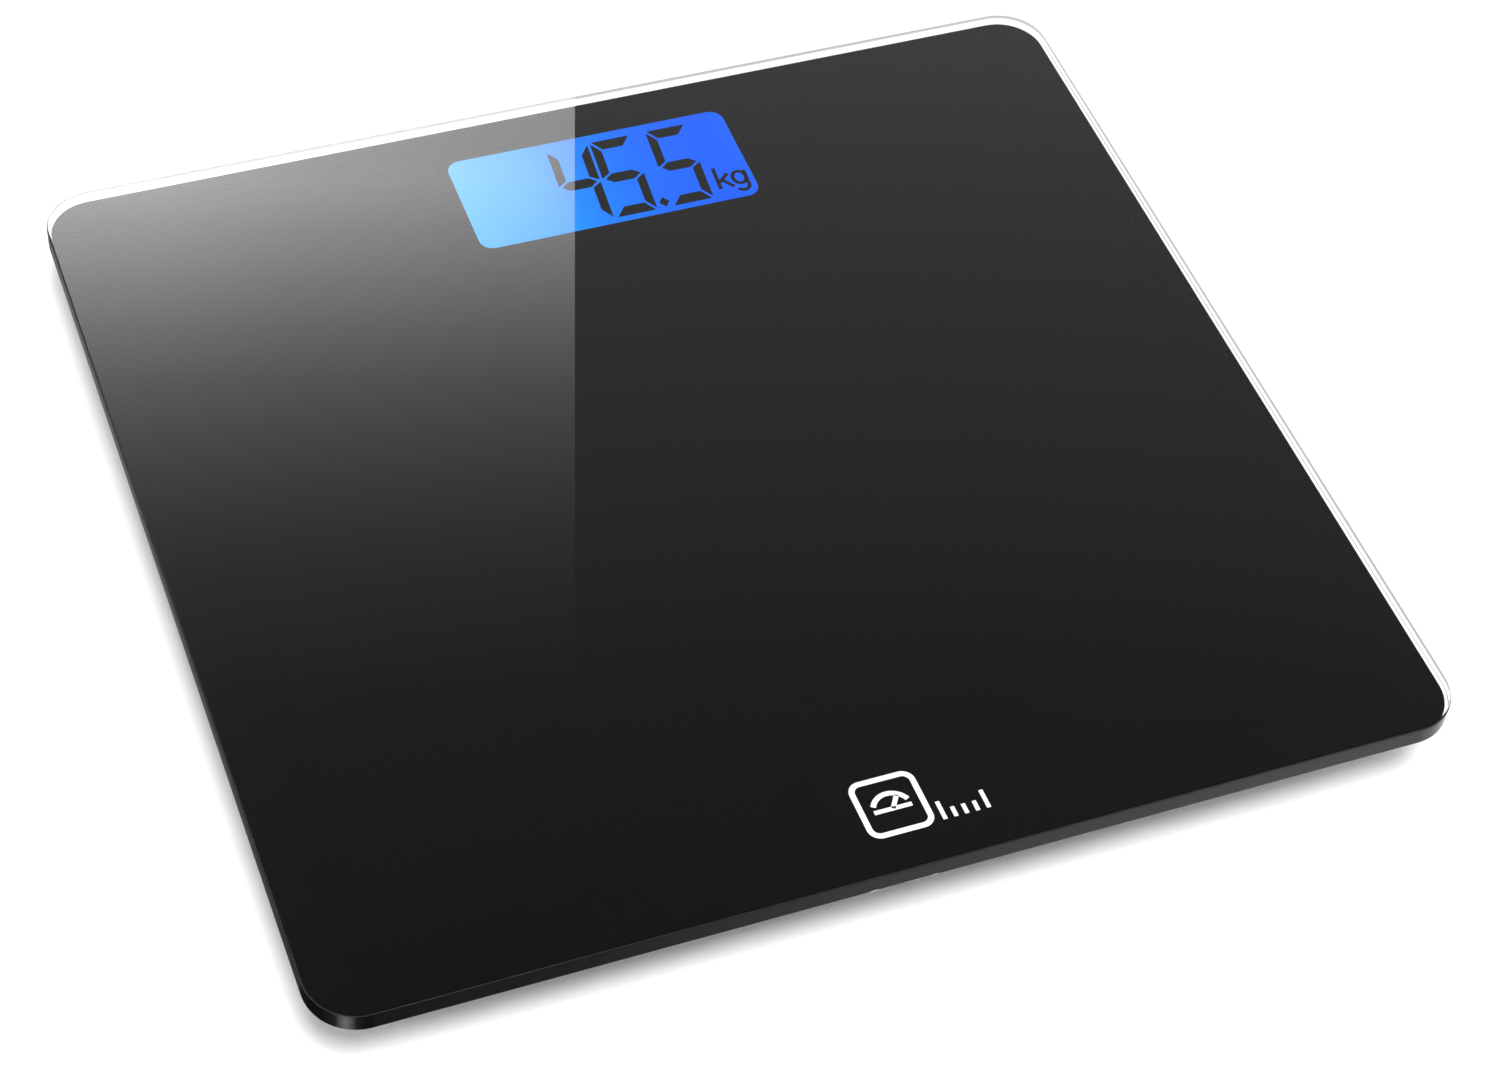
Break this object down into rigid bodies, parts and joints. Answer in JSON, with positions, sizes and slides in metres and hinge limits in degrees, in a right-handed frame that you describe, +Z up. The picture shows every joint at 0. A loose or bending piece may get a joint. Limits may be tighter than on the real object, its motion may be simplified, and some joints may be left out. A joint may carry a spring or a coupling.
{
  "type": "digital body weight scale",
  "caption": "Thin glass-topped digital scale with a lit numeric display behind the glass, round load-sensing feet, a battery bay and a unit button underneath.",
  "frame": {"origin": "middle of the footprint, on the floor under the rubber pads", "axes": "+Z up; +X to the user's right; +Y away from the user, towards the edge with the display"},
  "size_m": [0.3, 0.28, 0.0235],
  "materials": {
    "clear_glass": "clear tempered glass with a polished arris",
    "black_print": "opaque black print seen through the glass",
    "foam_tape": "white acrylic foam tape",
    "black_plastic": "fine moulded texture",
    "display_glass": "negative blue display, lit from the back",
    "white_film": "white reflector film",
    "light_guide": "clear acrylic",
    "led_package": "white lamp package",
    "grey_rubber": "layered conductive rubber",
    "board_laminate": "green solder mask",
    "plated_screw": "zinc plated",
    "black_epoxy": "black epoxy",
    "chip_package": "small soldered parts",
    "switch_plunger": "moulded",
    "button_plastic": "grey moulded button",
    "foot_plastic": "black moulded plastic",
    "foot_cap_plastic": "dark grey moulded plastic",
    "foot_rubber": "grey rubber",
    "cell_steel": "stamped alloy steel",
    "white_potting": "white silicone over the strain gauge",
    "cable_jacket": "fine wires side by side",
    "clip_plastic": "natural nylon",
    "battery_jacket": "plain shrink sleeve",
    "nickel_plate": "nickel plated",
    "label_paper": "blank label"
  },
  "bodies": {
    "platform": {"glass_platform": "clear_glass", "black_print_layer": "black_print", "foot_adhesive_pads": "foam_tape", "housing_foam_tape": "foam_tape", "display_bezel": "black_plastic", "lcd_panel": "display_glass", "backlight_reflector": "white_film", "backlight_light_guide": "light_guide", "backlight_leds": "led_package", "zebra_strip": "grey_rubber", "circuit_board": "board_laminate", "board_screws": "plated_screw", "controller_potting": "black_epoxy", "board_components": "chip_package", "tact_switch_body": "black_epoxy", "electronics_housing": "black_plastic", "battery_front": "battery_jacket", "battery_back": "battery_jacket", "battery_contacts": "nickel_plate", "battery_springs": "nickel_plate", "rating_label": "label_paper", "cable_clips": "clip_plastic", "foot_housing_front_left": "foot_plastic", "load_cell_front_left": "cell_steel", "gauge_potting_front_left": "white_potting", "sensor_cable_front_left": "cable_jacket", "foot_housing_front_right": "foot_plastic", "load_cell_front_right": "cell_steel", "gauge_potting_front_right": "white_potting", "sensor_cable_front_right": "cable_jacket", "foot_housing_back_left": "foot_plastic", "load_cell_back_left": "cell_steel", "gauge_potting_back_left": "white_potting", "sensor_cable_back_left": "cable_jacket", "foot_housing_back_right": "foot_plastic", "load_cell_back_right": "cell_steel", "gauge_potting_back_right": "white_potting", "sensor_cable_back_right": "cable_jacket"},
    "foot_front_left": {"foot_cap_front_left": "foot_cap_plastic", "foot_pad_front_left": "foot_rubber"},
    "foot_front_right": {"foot_cap_front_right": "foot_cap_plastic", "foot_pad_front_right": "foot_rubber"},
    "foot_back_left": {"foot_cap_back_left": "foot_cap_plastic", "foot_pad_back_left": "foot_rubber"},
    "foot_back_right": {"foot_cap_back_right": "foot_cap_plastic", "foot_pad_back_right": "foot_rubber"},
    "unit_button": {"unit_button": "button_plastic", "tact_switch_plunger": "switch_plunger"},
    "battery_door": {"battery_door": "black_plastic"}
  },
  "joints": [
    {"name": "foot_press_front_left", "type": "slide", "parent": "platform", "child": "foot_front_left", "axis": [0, 0, 1], "range_m": [0, 0.0005], "stiffness_N_per_m": 5000, "springref_m": -0.002, "deforming": ["load_cell_front_left"]},
    {"name": "foot_press_front_right", "type": "slide", "parent": "platform", "child": "foot_front_right", "axis": [0, 0, 1], "range_m": [0, 0.0005], "stiffness_N_per_m": 5000, "springref_m": -0.002, "deforming": ["load_cell_front_right"]},
    {"name": "foot_press_back_left", "type": "slide", "parent": "platform", "child": "foot_back_left", "axis": [0, 0, 1], "range_m": [0, 0.0005], "stiffness_N_per_m": 5000, "springref_m": -0.002, "deforming": ["load_cell_back_left"]},
    {"name": "foot_press_back_right", "type": "slide", "parent": "platform", "child": "foot_back_right", "axis": [0, 0, 1], "range_m": [0, 0.0005], "stiffness_N_per_m": 5000, "springref_m": -0.002, "deforming": ["load_cell_back_right"]},
    {"name": "unit_button_press", "type": "slide", "parent": "platform", "child": "unit_button", "axis": [0, 0, 1], "range_m": [0, 0.0004], "stiffness_N_per_m": 2500},
    {"name": "battery_door_slide", "type": "slide", "parent": "platform", "child": "battery_door", "axis": [0, -1, 0], "range_m": [0, 0.03]}
  ]
}
